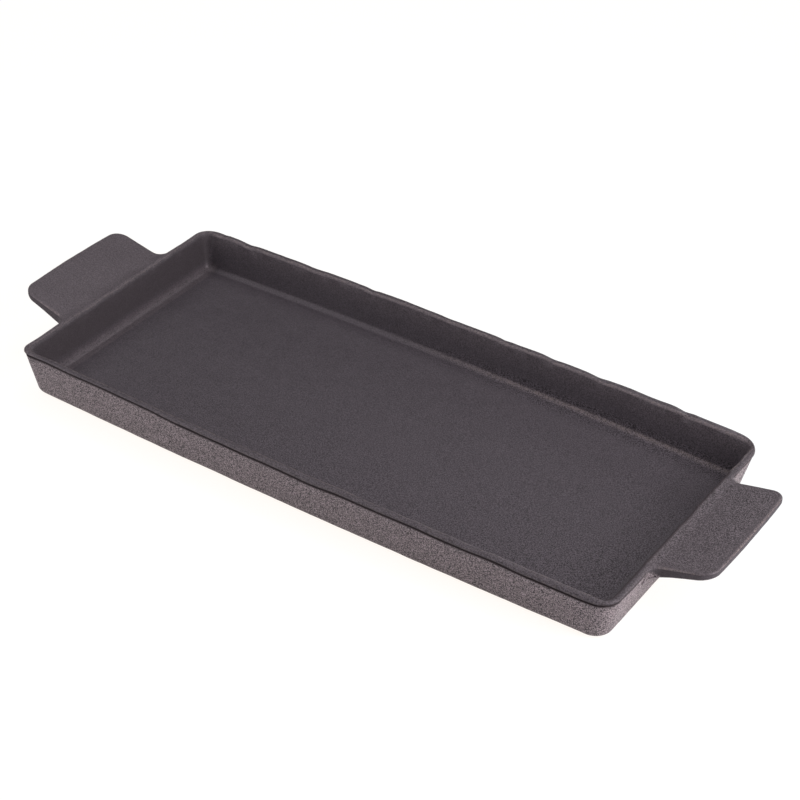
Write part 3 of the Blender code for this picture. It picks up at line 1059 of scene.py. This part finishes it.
# %% Iron material
INSIDE_TONE = (0.0551, 0.0463, 0.0546, 1.0)
OUTSIDE_TONE = (0.1700, 0.1370, 0.1460, 1.0)
# The painted highlights' colour, on lips, edges and fillets
PAINTED_HIGHLIGHT_TONE = (0.1900, 0.1500, 0.1450, 1.0)
# The painted shade's colour, in the groove and the other shaded places
PAINTED_SHADE_TONE = (0.0330, 0.0250, 0.0270, 1.0)
REFLECTION_TINT = (1.0, 0.88, 0.96, 1.0)
OIL_SKIN_IOR = 1.5
SMOOTH_ROUGHNESS = 0.40
RAW_ROUGHNESS = 0.60
PAINTED_SHADE_ROUGHNESS = 0.90
HIGHLIGHT_GLOSS = 0.15
# The grain's heights are in millimetres
MILLIMETRE = 0.001
MOTTLE_SCALE, PATCH_SCALE = 120.0, 900.0
# Which values of the mottle and the patches become which shades, changes of gloss and shares of the
# painted highlight
MOTTLE_SHADE = (0.3, 0.7, 0.95, 1.05)
MOTTLE_DULL = (0.3, 0.7, -0.02, 0.02)
HIGHLIGHT_PATCHES = (0.42, 0.62, 0.1, 1.0)


def add_group(tree, group, vector):
    node = tree.nodes.new("ShaderNodeGroup")
    node.node_tree = group
    tree.links.new(vector, node.inputs["Vector"])
    return node


def add_mask(tree, name):
    """One of the casting's masks, read from its points."""
    node = tree.nodes.new("ShaderNodeAttribute")
    node.attribute_name = name
    return node.outputs["Fac"]


def iron_finish(name):
    """Seasoned cast iron that reads the casting's masks."""
    material = bpy.data.materials.new(name)
    material.use_nodes = True
    tree = material.node_tree
    shader = tree.nodes["Principled BSDF"]
    place = tree.nodes.new("ShaderNodeTexCoord").outputs["Object"]
    coarse, pale_and_painted_light, painted_shade, painted_highlight = (add_mask(tree, mask) for mask in MASKS)
    sand = add_group(tree, coarse_grain, place)
    fine = add_group(tree, fine_grain, place)
    mottle = add_noise(tree, place, MOTTLE_SCALE, 3.0, 0.6)

    shade = add_mix(tree, coarse, fine.outputs["Shade"], sand.outputs["Shade"], "VALUE")
    shade = add_math(tree, "MULTIPLY", shade, add_range(tree, mottle, *MOTTLE_SHADE))
    scaled = tree.nodes.new("ShaderNodeVectorMath")
    scaled.operation = "SCALE"
    tree.links.new(add_mix(tree, pale_and_painted_light, INSIDE_TONE, OUTSIDE_TONE), scaled.inputs[0])
    tree.links.new(shade, scaled.inputs["Scale"])
    # Painted highlights, broken into patches
    patches = add_range(tree, add_noise(tree, place, PATCH_SCALE, 3.0), *HIGHLIGHT_PATCHES)
    colour = add_mix(tree, add_math(tree, "MULTIPLY", painted_highlight, patches), scaled.outputs[0], PAINTED_HIGHLIGHT_TONE)
    # Painted shade over all the rest
    colour = add_mix(tree, painted_shade, colour, PAINTED_SHADE_TONE)
    tree.links.new(colour, shader.inputs["Base Color"])

    bump = tree.nodes.new("ShaderNodeBump")
    bump.inputs["Strength"].default_value = 1.0
    bump.inputs["Distance"].default_value = MILLIMETRE
    relief = add_mix(tree, coarse, fine.outputs["Height"], sand.outputs["Height"], "VALUE")
    tree.links.new(relief, bump.inputs["Height"])
    tree.links.new(bump.outputs["Normal"], shader.inputs["Normal"])

    dull = add_mix(tree, coarse, SMOOTH_ROUGHNESS, RAW_ROUGHNESS, "VALUE")
    dull = add_math(tree, "ADD", dull, add_range(tree, mottle, *MOTTLE_DULL))
    dull = add_math(tree, "MULTIPLY_ADD", painted_highlight, -HIGHLIGHT_GLOSS, dull)
    dull = add_mix(tree, painted_shade, dull, PAINTED_SHADE_ROUGHNESS, "VALUE")
    tree.links.new(dull, shader.inputs["Roughness"])
    shader.inputs["IOR"].default_value = OIL_SKIN_IOR
    shader.inputs["Specular Tint"].default_value = REFLECTION_TINT
    return material


def slot_of(name):
    """The material slot of a section."""
    if name == "cooking_floor":
        return "floor_iron"
    return "handle_iron" if "handle" in name else "wall_iron"


finishes = {slot: iron_finish(slot) for slot in ("floor_iron", "wall_iron", "handle_iron")}
for name, piece in sections.items():
    slot = slot_of(name)
    piece.data.materials.append(finishes[slot])
    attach(piece, "root")
    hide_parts(name)
print("materials on", len(sections), "sections")

# %% [markdown]
# ## The table and the lamps
#
# The platter stood on a white sweep, overexposed to pure white. Lamps that bright would wash out
# the iron as well, so our table glows, but only for the camera and for reflections. Soft square
# lamps stand round it: two on the right, two at the rear, and two on the left.

# %% Lay the table
TABLE_HALF = 3.0
TABLE_GLOW = (1.0, 0.93, 0.87, 1)
TABLE_TINT = (0.05, 0.12, 0.18, 1)
TABLE_WHITE = (0.85, 0.85, 0.85, 1)
ROOM_TONE = (0.02, 0.02, 0.02, 1)

table_top = bmesh.new()
bmesh.ops.create_grid(table_top, x_segments=1, y_segments=1, size=TABLE_HALF)
data = bpy.data.meshes.new("table")
table_top.to_mesh(data)
table_top.free()
table = bpy.data.objects.new("table", data)
bpy.context.scene.collection.objects.link(table)
white = bpy.data.materials.new("white_table")
white.use_nodes = True
tree = white.node_tree
tree.nodes.clear()
output = tree.nodes.new("ShaderNodeOutputMaterial")
mix = tree.nodes.new("ShaderNodeMixShader")
add = tree.nodes.new("ShaderNodeAddShader")
glow = tree.nodes.new("ShaderNodeEmission")
tint = tree.nodes.new("ShaderNodeBsdfDiffuse")
plain = tree.nodes.new("ShaderNodeBsdfDiffuse")
for node, colour in ((glow, TABLE_GLOW), (tint, TABLE_TINT), (plain, TABLE_WHITE)):
    node.inputs["Color"].default_value = colour
path = tree.nodes.new("ShaderNodeLightPath")
seen = add_math(tree, "ADD", path.outputs["Is Camera Ray"], path.outputs["Is Glossy Ray"])
seen = add_math(tree, "ADD", seen, path.outputs["Is Transmission Ray"])
tree.links.new(glow.outputs[0], add.inputs[0])
tree.links.new(tint.outputs[0], add.inputs[1])
tree.links.new(seen, mix.inputs["Fac"])
tree.links.new(plain.outputs[0], mix.inputs[1])
tree.links.new(add.outputs[0], mix.inputs[2])
tree.links.new(mix.outputs[0], output.inputs["Surface"])
data.materials.append(white)

world = bpy.data.worlds.new("studio")
bpy.context.scene.world = world
world.use_nodes = True
world.node_tree.nodes["Background"].inputs["Color"].default_value = ROOM_TONE
print("table:", table.name, "seen as", TABLE_GLOW[:3])


# %% Set the lamps
def softbox(name, direction, distance, size, brightness):
    """A square area lamp of a given radiance that faces the platter."""
    lamp = bpy.data.lights.new(name, "AREA")
    lamp.shape = "RECTANGLE"
    lamp.size, lamp.size_y = size, size
    lamp.energy = brightness * math.pi * size * size
    obj = bpy.data.objects.new(name, lamp)
    bpy.context.scene.collection.objects.link(obj)
    towards = Vector(direction).normalized()
    obj.location = towards * distance
    obj.rotation_euler = towards.to_track_quat("Z", "Y").to_euler()


def aim(azimuth, elevation):
    """A direction from the platter: the azimuth runs from the rear to the right, in degrees."""
    turn, rise = math.radians(azimuth), math.radians(elevation)
    return (math.sin(turn) * math.cos(rise), math.cos(turn) * math.cos(rise), math.sin(rise))


# Name, azimuth, elevation, distance, size and brightness of each soft lamp
SOFTBOXES = (
    ("right_low", 90, 16, 0.65, 0.35, 6.9),
    ("right_high", 90, 40, 0.65, 0.35, 4.1),
    ("front_left", 215, 27, 0.65, 0.60, 1.6),
    ("rear_low", 0, 14, 1.6, 0.85, 1.7),
    ("rear_high", 0, 65, 1.6, 0.85, 2.0),
    ("left_high", 280, 62, 1.6, 1.60, 1.2),
)
for name, azimuth, elevation, distance, size, brightness in SOFTBOXES:
    softbox(name, aim(azimuth, elevation), distance, size, brightness)
print("softboxes:", len(SOFTBOXES))
bpy.context.scene.view_settings.view_transform = "Standard"
